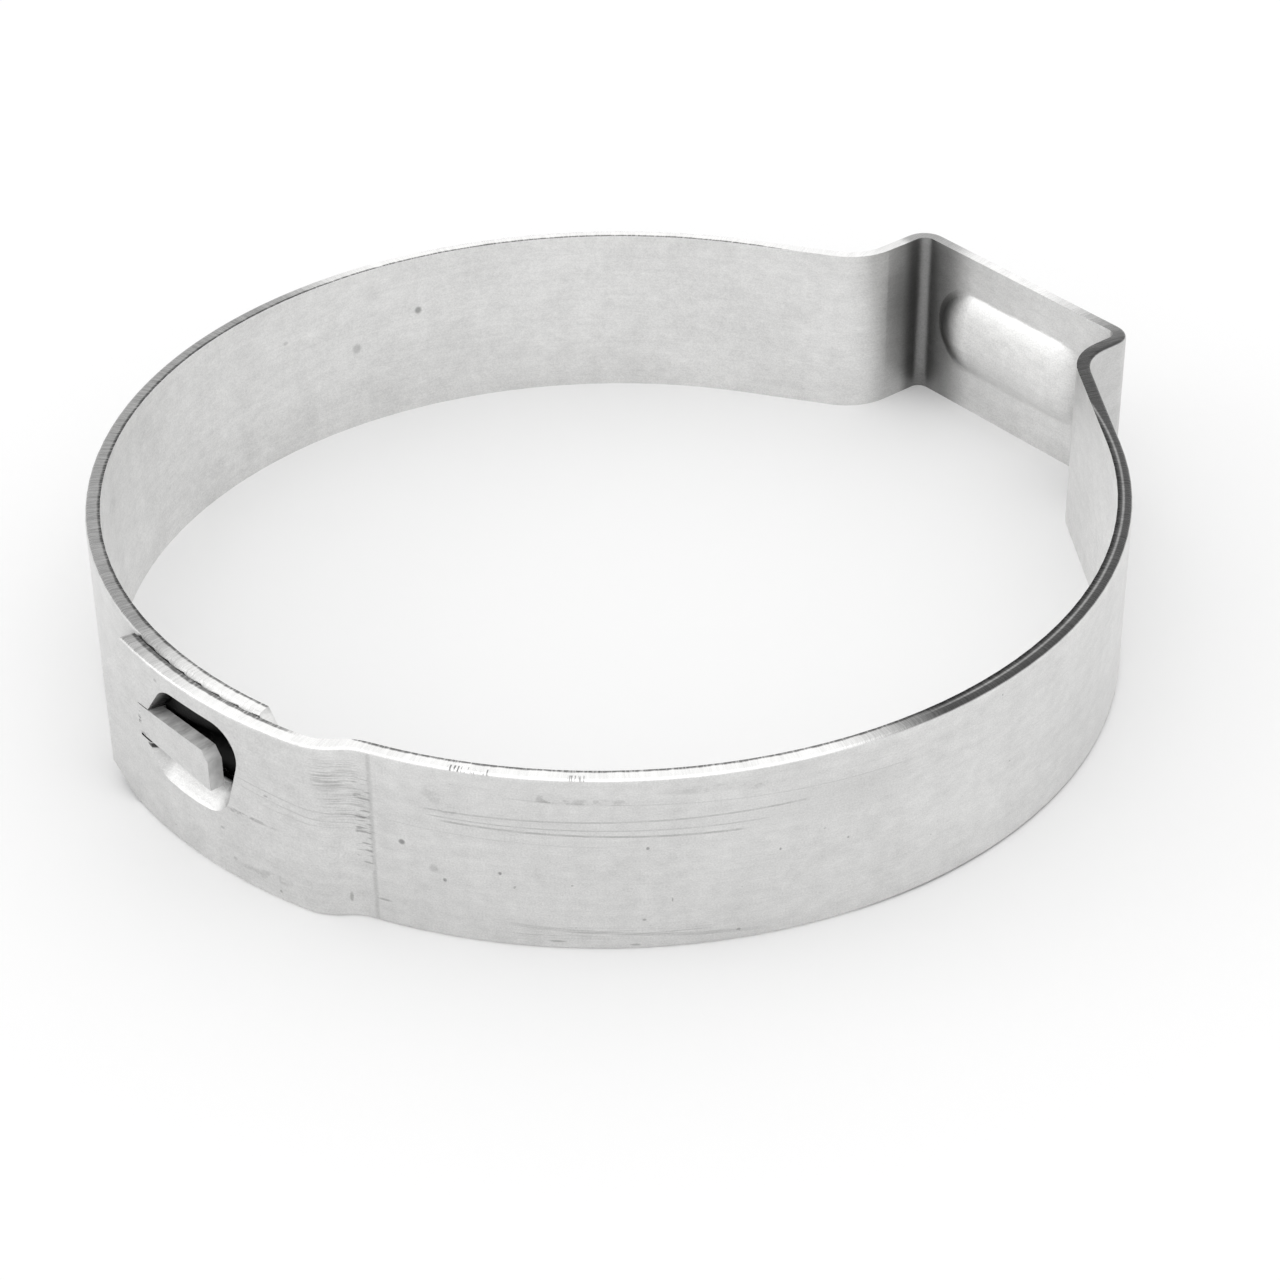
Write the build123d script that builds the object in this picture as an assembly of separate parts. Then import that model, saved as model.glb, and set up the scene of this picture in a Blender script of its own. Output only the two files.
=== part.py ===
from build123d import *
from math import acos, cos, degrees, radians, sin, tan
import os

# Ear hose clamp: one stainless strip rolled into a ring round a hose.
# +Z runs along the hose, the origin is the middle of the bore and the ear's crown faces +X.
# The two strip ends lap on the -X side and are locked by a pressed pocket and its tab.

# ---- strip and ring
STRIP_WIDTH = 7.0
STRIP_THICKNESS = 0.55
EDGE_ROUND = 0.17            # rolled-over outer edges; the bore side is left sharp by the slitting
BORE_RADIUS = 37.1 / 2
RING_RADIUS = BORE_RADIUS + STRIP_THICKNESS

# ---- ear
EAR_HEIGHT = 3.1             # ring's outside to the outside of the crown
CROWN_REACH = RING_RADIUS + EAR_HEIGHT
EAR_WIDTH = 12.0             # over the outside of the two legs
EAR_SHIFT = 0.6              # the ear sits a little to the +Y side
EAR_CORNER_RADIUS = 1.0      # outside of the two crown bends
FOOT_RADIUS = 1.9            # outside of the two foot bends
FOOT_RUN_ANGLE = 34.0        # from here on the ring runs straight into each foot

# ---- oblong dimple in the crown
DIMPLE_SHOULDER = 1.9        # flat crown left between each leg's outside and the dimple
DIMPLE_LENGTH = EAR_WIDTH - 2 * DIMPLE_SHOULDER
DIMPLE_WIDTH = 3.2
DIMPLE_DEPTH = 0.6
DIMPLE_RISE = 0.1            # above the middle of the strip
DIMPLE_RIM_ROUND = 0.5

# ---- lap of the two strip ends
LAP_GAP = 0.1                # between the inner and the outer layer
LAP_INSIDE = RING_RADIUS + LAP_GAP
LAP_OUTSIDE = LAP_INSIDE + STRIP_THICKNESS
LAP_STRAIGHT_ANGLE = 176.0   # from here the outer layer runs straight to its end and stands off
JOGGLE_ANGLE = 206.4         # where the ring starts to step outward
JOGGLE_BEND = 2.0            # middle-of-strip radius of both joggle bends
INNER_END_ANGLE = 197.0
INNER_CORNER_RUN = 1.0
INNER_CORNER_RISE = 1.7
OUTER_END_ANGLE = 168.7
OUTER_TOP_RUN = 1.7
OUTER_TOP_RISE = 2.2
OUTER_BOTTOM_RUN = 1.95
OUTER_BOTTOM_RISE = 0.8

# ---- interlock: pocket pressed into a window of the inner layer
POCKET_ANGLE = 184.8
POCKET_MOUTH = ((-1.2, 2.85), (3.1, 2.85), (1.8, -1.1), (-2.0, -1.1), (-2.75, 0.8))
POCKET_FOOT = ((-1.0, 2.55), (2.7, 2.55), (1.9, -0.15), (-1.7, -0.15), (-2.35, 1.1))
POCKET_MOUTH_CORNER = 1.2
POCKET_FOOT_CORNER = 0.8
BORE_CLEARANCE = 0.05        # pocket floor to bore surface
POCKET_FLOOR = BORE_RADIUS + BORE_CLEARANCE + STRIP_THICKNESS
WINDOW_CLEARANCE = 0.05      # pocket outline to window edge
POCKET_CHORD = 0.985         # share of the floor radius at which the foot outline is drawn

# ---- interlock: tab lanced free on three sides, root towards the outer end
TAB_TANGENT_ANGLE = 178.5    # the tab is flat from here to its tip
TAB_TIP = 3.8                # beyond the tangent line
TAB_ROOT = 0.75              # before the tangent line
TAB_ROOT_BOTTOM = 0.05
TAB_ROOT_TOP = 1.25
TAB_TIP_BOTTOM = 0.2
TAB_TIP_TOP = 1.7
TAB_TIP_CUT = 0.35
TAB_JOIN = 0.3               # the tab's body runs this far into the layer at its root
LANCE_GAP = 0.08

# ---- how far cutting bodies run past what they cut
REACH = 2 * CROWN_REACH
OVERRUN = 0.1


def polar(radius, angle):
    """Point in the ring's plane."""
    return Vector(radius * cos(radians(angle)), radius * sin(radians(angle)), 0)


def tangent(angle):
    """Anticlockwise direction round the ring."""
    return Vector(-sin(radians(angle)), cos(radians(angle)), 0)


def face_plane(radius, angle):
    """Plane facing outward at this angle: x runs round the ring, y along the bore."""
    return Plane(origin=polar(radius, angle), x_dir=tangent(angle), z_dir=polar(1, angle))


def sector(inside, outside, start, end):
    """Flat piece of a ring between two angles."""
    with BuildSketch() as area:
        with BuildLine():
            low = CenterArc((0, 0), inside, start, end - start)
            high = CenterArc((0, 0), outside, start, end - start)
            Line(low @ 0, high @ 0)
            Line(low @ 1, high @ 1)
        make_face()
    return area.sketch


def wedge(start, end):
    """Pie piece reaching past everything between two angles."""
    return make_face(Polyline((0, 0), polar(REACH, start), polar(REACH, end), (0, 0)))


def foot_point(radius, half_width, side):
    """Where the straight run beside the ear meets the leg's line."""
    leg = half_width + side * EAR_SHIFT
    start = polar(radius, FOOT_RUN_ANGLE)
    run = (start.Y - leg) / cos(radians(FOOT_RUN_ANGLE))
    return Vector(start.X + run * sin(radians(FOOT_RUN_ANGLE)), side * leg, 0)


def band_area(skin):
    """Everything inside the strip surface that lies this far outside the bore."""
    inset = STRIP_THICKNESS - skin
    radius = BORE_RADIUS + skin
    half_width = EAR_WIDTH / 2 - inset
    upper_foot = foot_point(radius, half_width, 1)
    lower_foot = foot_point(radius, half_width, -1)
    upper_run = polar(radius, FOOT_RUN_ANGLE)
    lower_run = polar(radius, -FOOT_RUN_ANGLE)
    runs = make_face(Polyline((0, 0), lower_run, lower_foot, upper_foot, upper_run, (0, 0)))
    legs = Pos((CROWN_REACH - inset) / 2, EAR_SHIFT) * Rectangle(CROWN_REACH - inset, 2 * half_width)
    area = Circle(radius) + runs + legs
    feet = [
        area.vertices().sort_by_distance(upper_foot)[0],
        area.vertices().sort_by_distance(lower_foot)[0],
    ]
    area = fillet(feet, FOOT_RADIUS + inset)
    crown = area.vertices().sort_by(Axis.X)[-2:]
    return fillet(crown, EAR_CORNER_RADIUS - inset)


def lap_area(skin):
    """Pie reaching out to the stepped strip surface of the outer layer and its joggle."""
    ring_mid = BORE_RADIUS + STRIP_THICKNESS / 2
    lap_mid = LAP_INSIDE + STRIP_THICKNESS / 2
    near = ring_mid + JOGGLE_BEND
    far = lap_mid - JOGGLE_BEND
    span = degrees(acos((near**2 + far**2 - 4 * JOGGLE_BEND**2) / (2 * near * far)))
    lap_angle = JOGGLE_ANGLE - span
    outer_centre = polar(near, JOGGLE_ANGLE)
    inner_centre = polar(far, lap_angle)
    across = (outer_centre - inner_centre).normalized() * (skin - STRIP_THICKNESS / 2)
    middle = (outer_centre + inner_centre) * 0.5 + across
    ring_start = polar(BORE_RADIUS + skin, JOGGLE_ANGLE)
    lap_start = polar(LAP_INSIDE + skin, lap_angle)
    straight_start = polar(LAP_INSIDE + skin, LAP_STRAIGHT_ANGLE)
    straight_run = LAP_OUTSIDE * tan(radians(LAP_STRAIGHT_ANGLE - OUTER_END_ANGLE))
    strip_end = straight_start - tangent(LAP_STRAIGHT_ANGLE) * straight_run
    with BuildSketch() as area:
        with BuildLine():
            Line((0, 0), ring_start)
            TangentArc(ring_start, middle, tangent=-tangent(JOGGLE_ANGLE))
            TangentArc(lap_start, middle, tangent=tangent(lap_angle))
            CenterArc((0, 0), LAP_INSIDE + skin, lap_angle, LAP_STRAIGHT_ANGLE - lap_angle)
            Line(straight_start, strip_end)
            Line(strip_end, (0, 0))
        make_face()
    return area.sketch


def rounded_block(area):
    """Strip-wide block with the rims of its strip surface rounded, but not the sides that meet the axis."""
    block = extrude(area, STRIP_WIDTH / 2, both=True)
    rims = block.edges().filter_by(lambda e: abs(abs(e.center().Z) - STRIP_WIDTH / 2) < EDGE_ROUND / 2)
    axis_ends = [Vector(0, 0, STRIP_WIDTH / 2), Vector(0, 0, -STRIP_WIDTH / 2)]
    rims = rims.filter_by(lambda e: min(e.distance_to(p) for p in axis_ends) > EDGE_ROUND)
    return fillet(rims, EDGE_ROUND)


def corner_cut(angle, run, rise):
    """Triangle off a strip corner: run points into the strip, rise is negative at the bottom edge."""
    rim = STRIP_WIDTH / 2 if rise > 0 else -STRIP_WIDTH / 2
    on_end = Vector(0, rim - rise)
    on_rim = Vector(run, rim)
    over = (on_rim - on_end) * OVERRUN
    low = on_end - over
    high = on_rim + over
    corner = Vector(low.X, high.Y)
    outline = make_face(Polyline(low, high, corner, close=True))
    return extrude(face_plane(0, angle) * outline, REACH)


def pocket_outline(share):
    """Rounded outline of the pocket: 0 at its mouth, 1 at its foot."""
    corners = [Vector(*m) + (Vector(*f) - Vector(*m)) * share for m, f in zip(POCKET_MOUTH, POCKET_FOOT)]
    outline = make_face(Polyline(*corners, close=True))
    radius = POCKET_MOUTH_CORNER + (POCKET_FOOT_CORNER - POCKET_MOUTH_CORNER) * share
    return fillet(outline.vertices(), radius)


def pocket_punch(radius, floor):
    """Sloped pocket form whose mouth is at one radius, ending on a cylinder."""
    depth = radius - floor
    over = OVERRUN / depth
    deep = (radius - floor * POCKET_CHORD) / depth
    mouth = face_plane(radius + OVERRUN, POCKET_ANGLE) * pocket_outline(-over)
    foot = face_plane(floor * POCKET_CHORD, POCKET_ANGLE) * pocket_outline(deep)
    return loft([mouth, foot], ruled=True) - Cylinder(floor, 2 * STRIP_WIDTH)


def tab_footprint(margin):
    """Tab outline on its tangent plane; the margin widens it on the three cut sides."""
    root = -TAB_ROOT if margin else -TAB_ROOT - TAB_JOIN
    top = Vector(root, TAB_ROOT_TOP + margin)
    bottom = Vector(root, TAB_ROOT_BOTTOM - margin)
    tip = TAB_TIP + margin
    outline = Polyline(
        bottom,
        (tip, TAB_TIP_BOTTOM - margin),
        (tip, TAB_TIP_TOP + margin - TAB_TIP_CUT),
        (tip - TAB_TIP_CUT, TAB_TIP_TOP + margin),
        top,
        close=True,
    )
    return extrude(face_plane(0, TAB_TANGENT_ANGLE) * make_face(outline), REACH)


def dimple_punch(extra):
    """Round-nosed bar with ball ends lying along the crown."""
    nose = DIMPLE_WIDTH**2 / (8 * DIMPLE_DEPTH) + DIMPLE_DEPTH / 2
    half = (DIMPLE_LENGTH - DIMPLE_WIDTH) / 2
    radius = nose + extra
    with BuildPart() as bar:
        with BuildSketch():
            with BuildLine():
                Line((0, -half - radius), (0, half + radius))
                CenterArc((0, -half), radius, -90, 90)
                Line((radius, -half), (radius, half))
                CenterArc((0, half), radius, 0, 90)
            make_face()
        revolve(axis=Axis.Y)
    return Pos(CROWN_REACH + nose - DIMPLE_DEPTH, EAR_SHIFT, DIMPLE_RISE) * bar.part


def dimple_edges(solid, reach):
    """Where the dimple meets the crown surface at this distance from the bore axis."""
    on_crown = solid.edges().filter_by(lambda e: abs(e.center().X - reach) < STRIP_THICKNESS / 4)
    along = on_crown.filter_by(lambda e: abs(e.center().Y - EAR_SHIFT) < DIMPLE_LENGTH / 2)
    return along.filter_by(lambda e: abs(e.center().Z - DIMPLE_RISE) < DIMPLE_WIDTH)


# ---- ring and ear, with the dimple pressed into the crown at the strip's full thickness
outside = rounded_block(band_area(STRIP_THICKNESS)) - dimple_punch(0)
outside = fillet(dimple_edges(outside, CROWN_REACH), DIMPLE_RIM_ROUND)
inside = extrude(band_area(0), STRIP_WIDTH, both=True) - dimple_punch(STRIP_THICKNESS)
inside = fillet(dimple_edges(inside, CROWN_REACH - STRIP_THICKNESS), DIMPLE_RIM_ROUND)
clamp = outside - inside

# ---- inner layer: cut end and the window that takes the pocket
clamp -= extrude(wedge(INNER_END_ANGLE, JOGGLE_ANGLE), STRIP_WIDTH, both=True)
clamp -= corner_cut(INNER_END_ANGLE, -INNER_CORNER_RUN, INNER_CORNER_RISE)
clamp -= corner_cut(INNER_END_ANGLE, -INNER_CORNER_RUN, -INNER_CORNER_RISE)
window = offset(pocket_outline(0), WINDOW_CLEARANCE)
clamp -= extrude(face_plane(0, POCKET_ANGLE) * window, RING_RADIUS + LAP_GAP)

# ---- outer layer with its cut corners, pocket and tab
lap = rounded_block(lap_area(STRIP_THICKNESS)) - extrude(lap_area(0), STRIP_WIDTH, both=True)
lap -= corner_cut(OUTER_END_ANGLE, OUTER_TOP_RUN, OUTER_TOP_RISE)
lap -= corner_cut(OUTER_END_ANGLE, OUTER_BOTTOM_RUN, -OUTER_BOTTOM_RISE)
lap += pocket_punch(LAP_INSIDE, POCKET_FLOOR - STRIP_THICKNESS)
lap -= pocket_punch(LAP_OUTSIDE, POCKET_FLOOR)
lap -= tab_footprint(LANCE_GAP)

# ---- tab: curved at its root, then flat so that its tip stands proud
tab_inside = polar(LAP_INSIDE, TAB_TANGENT_ANGLE)
tab_outside = polar(LAP_OUTSIDE, TAB_TANGENT_ANGLE)
tab_run = tangent(TAB_TANGENT_ANGLE) * REACH
tab_curved = sector(LAP_INSIDE, LAP_OUTSIDE, LAP_STRAIGHT_ANGLE, TAB_TANGENT_ANGLE)
tab_far = [tab_outside + tab_run, tab_inside + tab_run]
tab_flat = make_face(Polyline(tab_inside, tab_outside, *tab_far, close=True))
lap += extrude(tab_curved + tab_flat, STRIP_WIDTH / 2, both=True) & tab_footprint(0)

clamp += lap
os.makedirs("parts", exist_ok=True)
export_step(clamp, "parts/ear_clamp.step")
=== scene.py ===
"""Ear hose clamp: a stainless strip clamp with a dimpled ear, standing on a pale floor."""

import logging
import math
from dataclasses import dataclass, field
from enum import Enum
from typing import Iterable, Optional, Sequence, Union

import bpy
from mathutils import Matrix, Vector


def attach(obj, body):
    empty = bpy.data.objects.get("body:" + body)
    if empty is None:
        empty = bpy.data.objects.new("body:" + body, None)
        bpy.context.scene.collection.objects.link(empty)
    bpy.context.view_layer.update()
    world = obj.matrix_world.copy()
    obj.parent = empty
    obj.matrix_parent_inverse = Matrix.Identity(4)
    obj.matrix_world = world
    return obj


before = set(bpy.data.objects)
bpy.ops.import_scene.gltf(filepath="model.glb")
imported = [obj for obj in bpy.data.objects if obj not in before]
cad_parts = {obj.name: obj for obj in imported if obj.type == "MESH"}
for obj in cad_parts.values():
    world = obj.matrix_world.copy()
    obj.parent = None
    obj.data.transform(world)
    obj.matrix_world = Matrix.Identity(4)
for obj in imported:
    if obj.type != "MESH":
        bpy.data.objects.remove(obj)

LOG = logging.getLogger("ear_clamp")
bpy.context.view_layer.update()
MM = 0.001
ROOT_BODY = "root"
CLAMP_NODE = "ear_clamp"

BORE_MM = 18.55          # radius of the bore
RING_MM = 19.1           # radius of the ring's outside
LAP_INSIDE_MM = 19.2     # radius of the outer layer's bore side
LAP_OUTSIDE_MM = 19.75   # radius of the outer layer's outside
SEAM_ANGLE = 345.0       # where the angle round the ring starts again
HALF_TURN = 180.0
WHITE = (1.0, 1.0, 1.0, 1.0)
NOISE_MIDDLE = 0.5

Socket = bpy.types.NodeSocket
Value = Union[float, Socket]
Triple = tuple[float, float, float]
Limits = tuple[float, float]

MARK_FADE: Limits = (1.3, 0.5)         # distances, in half sizes, over which a mark fades in
PATCHY_LIMITS: Limits = (0.45, 0.58)   # noise between which a patchy mark shows
LINE_BREAKS: Limits = (0.35, 0.6)      # noise between which a drawn line gains strength
CREASE_BREAKS: Limits = (0.38, 0.58)   # noise between which the crease gains strength
BROKEN_RANGE: Limits = (0.35, 1.0)     # least and most strength of a broken line


class Op(Enum):
    """Sums that a math node can do."""

    ADD = "ADD"
    SUBTRACT = "SUBTRACT"
    MULTIPLY = "MULTIPLY"
    MAXIMUM = "MAXIMUM"
    ABSOLUTE = "ABSOLUTE"
    SQRT = "SQRT"
    ARCTAN2 = "ARCTAN2"
    PINGPONG = "PINGPONG"


class Graph:
    """Short notation for building a node tree."""

    def __init__(self, tree: bpy.types.NodeTree) -> None:
        """Starts from an empty tree.

        Args:
            tree: The node tree to fill.
        """
        self.tree = tree
        tree.nodes.clear()

    def node(self, kind: str, **settings: object) -> bpy.types.Node:
        """Adds a node.

        Args:
            kind: Node type without its "ShaderNode" prefix.
            **settings: Attributes set on the node.

        Returns:
            The new node.
        """
        made = self.tree.nodes.new("ShaderNode" + kind)
        for name, value in settings.items():
            setattr(made, name, value)
        return made

    def put(self, socket: Socket, value: object) -> None:
        """Links a socket or sets its constant.

        Args:
            socket: The input that takes the value.
            value: Another node's output, or a constant.
        """
        if isinstance(value, Socket):
            self.tree.links.new(value, socket)
        else:
            socket.default_value = value

    def math(self, operation: Op, a: Value, b: Value = 0.0, clamp: bool = False) -> Socket:
        """Adds a math node.

        Args:
            operation: What it does.
            a: First value.
            b: Second value, where the operation has one.
            clamp: Whether the result stays within 0 and 1.

        Returns:
            The result.
        """
        made = self.node("Math", operation=operation.value, use_clamp=clamp)
        self.put(made.inputs[0], a)
        self.put(made.inputs[1], b)
        return made.outputs[0]

    def plus(self, a: Value, b: Value) -> Socket:
        """Sum of two values."""
        return self.math(Op.ADD, a, b)

    def minus(self, a: Value, b: Value, clamp: bool = False) -> Socket:
        """Difference of two values."""
        return self.math(Op.SUBTRACT, a, b, clamp)

    def times(self, a: Value, b: Value, clamp: bool = False) -> Socket:
        """Product of two values."""
        return self.math(Op.MULTIPLY, a, b, clamp)

    def centred(self, noise: Value, reach: float) -> Socket:
        """Noise brought round zero, with its own reach."""
        return self.times(self.minus(noise, NOISE_MIDDLE), reach)

    def vector(self, x: Value, y: Value, z: Value) -> Socket:
        """Joins three values.

        Args:
            x: First value.
            y: Second value.
            z: Third value.

        Returns:
            The vector.
        """
        made = self.node("CombineXYZ")
        for socket, value in zip(made.inputs, (x, y, z)):
            self.put(socket, value)
        return made.outputs[0]

    def noise(self, at: Socket, detail: float, roughness: float) -> Socket:
        """Adds noise whose scale is already in its coordinates.

        Args:
            at: Coordinates.
            detail: Octaves of finer noise.
            roughness: Strength of the finer octaves.

        Returns:
            A value from 0 to 1.
        """
        made = self.node("TexNoise")
        self.put(made.inputs["Vector"], at)
        made.inputs["Scale"].default_value = 1.0
        made.inputs["Detail"].default_value = detail
        made.inputs["Roughness"].default_value = roughness
        return made.outputs["Fac"]

    def span(
        self, value: Value, start: float, end: float, low: float = 0.0, high: float = 1.0
    ) -> Socket:
        """Maps a range with a smooth, clamped step.

        Args:
            value: The value that is mapped.
            start: Where the result is low.
            end: Where the result is high.
            low: Result at the start and before it.
            high: Result at the end and past it.

        Returns:
            The mapped value.
        """
        made = self.node("MapRange", interpolation_type="SMOOTHSTEP")
        self.put(made.inputs["Value"], value)
        made.inputs["From Min"].default_value = start
        made.inputs["From Max"].default_value = end
        made.inputs["To Min"].default_value = low
        made.inputs["To Max"].default_value = high
        return made.outputs[0]

    def window(self, value: Value, low: float, high: float, soft: float) -> Socket:
        """One between two limits and zero outside them.

        Args:
            value: The value that is tested.
            low: Lower limit.
            high: Upper limit.
            soft: How far the change reaches each side of a limit.

        Returns:
            The mask.
        """
        rise = self.span(value, low - soft, low + soft)
        fall = self.span(value, high + soft, high - soft)
        return self.times(rise, fall)

    def mix(self, factor: Value, a: Value, b: Value) -> Socket:
        """Blends two values.

        Args:
            factor: Share of the second value.
            a: First value.
            b: Second value.

        Returns:
            The blend.
        """
        made = self.node("Mix", data_type="FLOAT")
        self.put(made.inputs[0], factor)
        self.put(made.inputs[2], a)
        self.put(made.inputs[3], b)
        return made.outputs[0]

    def total(self, values: Iterable[Value], how: Op = Op.ADD) -> Value:
        """Combines several values in order.

        Args:
            values: The values, at least one.
            how: The sum that joins each to the next.

        Returns:
            The result.
        """
        result: Optional[Value] = None
        for value in values:
            result = value if result is None else self.math(how, result, value)
        return result

    def finish(self, shader: bpy.types.Node, output: str = "OutputMaterial") -> None:
        """Links a shader to a new output node."""
        self.put(self.node(output).inputs["Surface"], shader.outputs[0])


@dataclass(frozen=True)
class Place:
    """Where a point of the strip lies, in millimetres and degrees.

    Attributes:
        x: Towards the ear's crown.
        y: Across, along the ear's width.
        z: Along the bore.
        degrees: Angle round the bore.
        along: Length round the ring's outside.
        radius: Distance from the bore's axis.
        sheet: The angle and the height as one vector.
    """

    x: Value
    y: Value
    z: Value
    degrees: Value
    along: Value
    radius: Value
    sheet: Socket

    @classmethod
    def read(cls, g: Graph) -> "Place":
        """Reads the place from the object's own coordinates.

        Args:
            g: The material's graph.

        Returns:
            The place.
        """
        split = g.node("SeparateXYZ")
        g.put(split.inputs[0], g.node("TexCoord").outputs["Object"])
        x, y, z = (g.times(axis, 1 / MM) for axis in split.outputs)
        turn = math.radians(HALF_TURN - SEAM_ANGLE)
        turned_x = g.minus(g.times(x, math.cos(turn)), g.times(y, math.sin(turn)))
        turned_y = g.plus(g.times(x, math.sin(turn)), g.times(y, math.cos(turn)))
        around = g.math(Op.ARCTAN2, turned_y, turned_x)
        degrees = g.plus(g.times(around, HALF_TURN / math.pi), SEAM_ANGLE - HALF_TURN)
        radius = g.math(Op.SQRT, g.plus(g.times(x, x), g.times(y, y)))
        along = g.times(around, RING_MM)
        return cls(x, y, z, degrees, along, radius, g.vector(degrees, z, 0.0))

    def angles(self, g: Graph, start: float, end: float, soft: float) -> Socket:
        """One between two angles and zero beside them.

        Args:
            g: The material's graph.
            start: First angle.
            end: Last angle.
            soft: Degrees over which it fades, outside both.

        Returns:
            The mask.
        """
        middle, half = (start + end) / 2, (end - start) / 2
        away = g.math(Op.PINGPONG, g.minus(self.degrees, middle), HALF_TURN)
        return g.span(away, half + soft, half)


@dataclass(frozen=True)
class Texture:
    """Noise by its scale in each direction of the strip.

    Attributes:
        around: Scale round the ring, per millimetre.
        up: Scale along the bore, per millimetre.
        through: Scale through the strip, per millimetre.
        detail: Octaves of finer noise.
        rough: Strength of the finer octaves.
        reach: How far it moves the tone.
        relief: Its share of the height.
    """

    around: float
    up: float
    through: float
    detail: float
    rough: float
    reach: float = 0.0
    relief: float = 0.0

    def noise(self, g: Graph, place: Place) -> Socket:
        """Makes the noise.

        Args:
            g: The material's graph.
            place: Where the point lies.

        Returns:
            A value from 0 to 1.
        """
        at = g.vector(
            g.times(place.along, self.around),
            g.times(place.z, self.up),
            g.times(place.radius, self.through),
        )
        return g.noise(at, self.detail, self.rough)

    def swing(self, g: Graph, noise: Value) -> Socket:
        """What its noise adds to the tone."""
        return g.centred(noise, self.reach)


@dataclass(frozen=True)
class Mark:
    """One soft oval mark, by its place round the ring and along the bore.

    Attributes:
        angle: Its middle, in degrees.
        height: Its middle along the bore, in millimetres.
        long: Half its length round the ring, in millimetres.
        tall: Half its height, in millimetres.
        strength: How much it darkens.
        patchy: Whether it is broken up.
    """

    angle: float
    height: float
    long: float
    tall: float
    strength: float
    patchy: bool = False

    def darkness(self, g: Graph, place: Place, broken: Value) -> Socket:
        """Darkness of the mark.

        Args:
            g: The material's graph.
            place: Where the point lies.
            broken: Noise that breaks up a patchy mark.

        Returns:
            The darkness.
        """
        across = math.radians(1.0) * RING_MM / self.long
        up = 1 / self.tall
        away = g.node("VectorMath", operation="MULTIPLY_ADD")
        g.put(away.inputs[0], place.sheet)
        away.inputs[1].default_value = (across, up, 0.0)
        away.inputs[2].default_value = (-self.angle * across, -self.height * up, 0.0)
        length = g.node("VectorMath", operation="LENGTH")
        g.put(length.inputs[0], away.outputs["Vector"])
        dark = g.span(length.outputs["Value"], *MARK_FADE, 0.0, self.strength)
        return g.times(dark, g.span(broken, *PATCHY_LIMITS)) if self.patchy else dark


@dataclass(frozen=True)
class DrawnLine:
    """One long fine line drawn into the strip by the rolls.

    Attributes:
        start: First angle, in degrees.
        end: Last angle, in degrees.
        height: Height at the first angle, in millimetres.
        height_end: Height at the last angle, in millimetres.
        width: Half its width, in millimetres.
        strength: How much it darkens.
        soft: Degrees over which its ends fade.
    """

    start: float
    end: float
    height: float
    height_end: float
    width: float
    strength: float
    soft: float = 1.5

    def darkness(self, g: Graph, place: Place, broken: Value) -> Socket:
        """Darkness of the line, broken up along its length.

        Args:
            g: The material's graph.
            place: Where the point lies.
            broken: Noise that breaks up the line.

        Returns:
            The darkness.
        """
        reach = place.angles(g, self.start, self.end, self.soft)
        slope = (self.height_end - self.height) / (self.end - self.start)
        height = g.plus(g.times(place.degrees, slope), self.height - slope * self.start)
        away = g.math(Op.ABSOLUTE, g.minus(place.z, height))
        level = g.span(away, self.width, self.width / 2)
        seen = g.span(broken, *LINE_BREAKS, *BROKEN_RANGE)
        return g.times(g.times(reach, level), g.times(seen, self.strength))


@dataclass(frozen=True)
class Patch:
    """A patch of the strip between two angles and two heights.

    Attributes:
        start: First angle, in degrees.
        end: Last angle, in degrees.
        low: Lower height, in millimetres.
        high: Upper height, in millimetres.
        soft_angle: Degrees over which its ends fade.
        soft_height: Millimetres over which its long edges fade.
        strength: How much it darkens.
    """

    start: float
    end: float
    low: float
    high: float
    soft_angle: float
    soft_height: float
    strength: float

    def darkness(self, g: Graph, place: Place) -> Socket:
        """Darkness of the patch.

        Args:
            g: The material's graph.
            place: Where the point lies.

        Returns:
            The darkness.
        """
        across = place.angles(g, self.start, self.end, self.soft_angle)
        up = g.window(place.z, self.low, self.high, self.soft_height)
        return g.times(g.times(across, up), self.strength)


@dataclass(frozen=True)
class Shade:
    """A box inside which the strip is painted darker, as shade, or brighter, as light.

    Attributes:
        low: Lowest corner, in millimetres.
        high: Highest corner, in millimetres.
        soft: How far each pair of faces fades, in millimetres.
        gain: Brightness inside the box.
        rough: Roughness that is added inside it.
    """

    low: Triple
    high: Triple
    soft: Triple
    gain: float
    rough: float = 0.0

    def inside(self, g: Graph, place: Place) -> Value:
        """One inside the box and zero outside.

        Args:
            g: The material's graph.
            place: Where the point lies.

        Returns:
            The mask.
        """
        sides = zip((place.x, place.y, place.z), self.low, self.high, self.soft)
        windows = [g.window(axis, low, high, soft) for axis, low, high, soft in sides]
        return g.total(windows, Op.MULTIPLY)


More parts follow.
